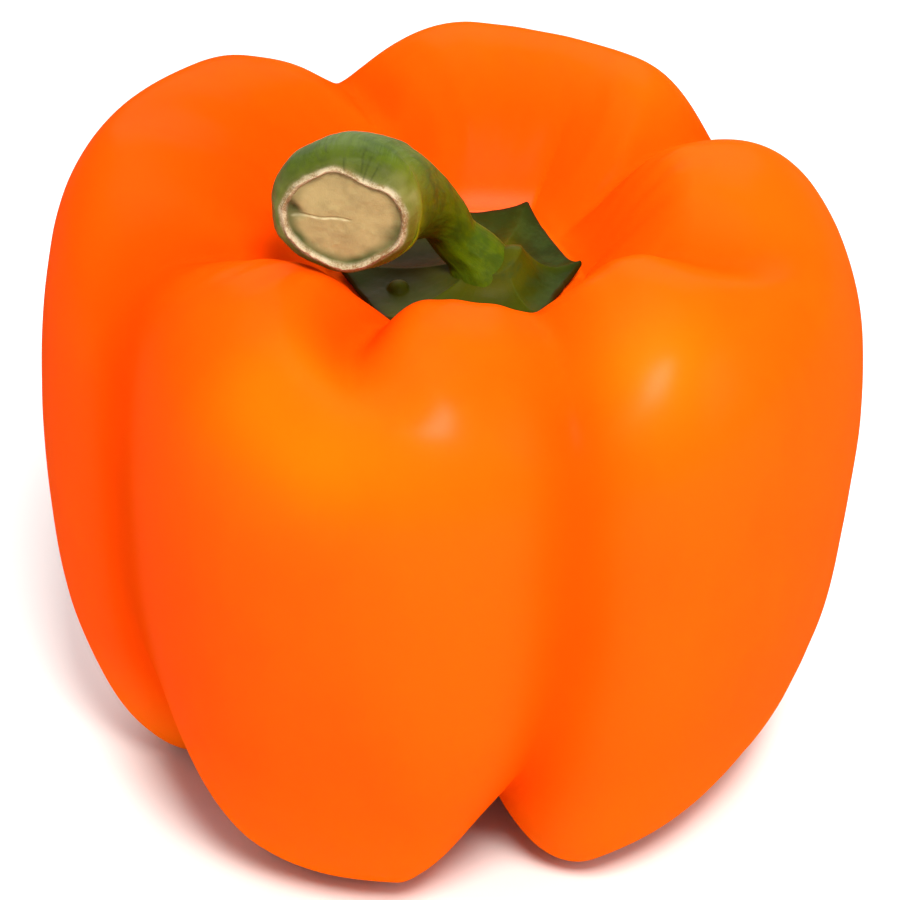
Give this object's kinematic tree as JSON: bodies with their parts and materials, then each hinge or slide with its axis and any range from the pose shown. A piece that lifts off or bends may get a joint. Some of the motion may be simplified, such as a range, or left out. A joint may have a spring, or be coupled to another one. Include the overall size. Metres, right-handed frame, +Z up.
{
  "type": "bell pepper",
  "caption": "Whole blocky orange bell pepper standing on its feet, with a green calyx and a bent, cut stem in its top hollow.",
  "frame": {"origin": "on the surface that the pepper stands on, under the middle of its box", "axes": "+Z up along the pepper's core, -Y towards its front, where the cut end of the stem points, +X towards its right side"},
  "size_m": [0.0848, 0.0832, 0.0837],
  "materials": {
    "fruit_skin": "waxy, smooth, glossy orange skin, redder towards the left side and in the folds",
    "calyx_green": "dull dark green leaf tissue",
    "stem_green": "satin ribbed green skin, with a pale fibrous cut end"
  },
  "bodies": {
    "root": {"fruit": "fruit_skin", "calyx": "calyx_green", "stem": "stem_green"}
  },
  "joints": []
}
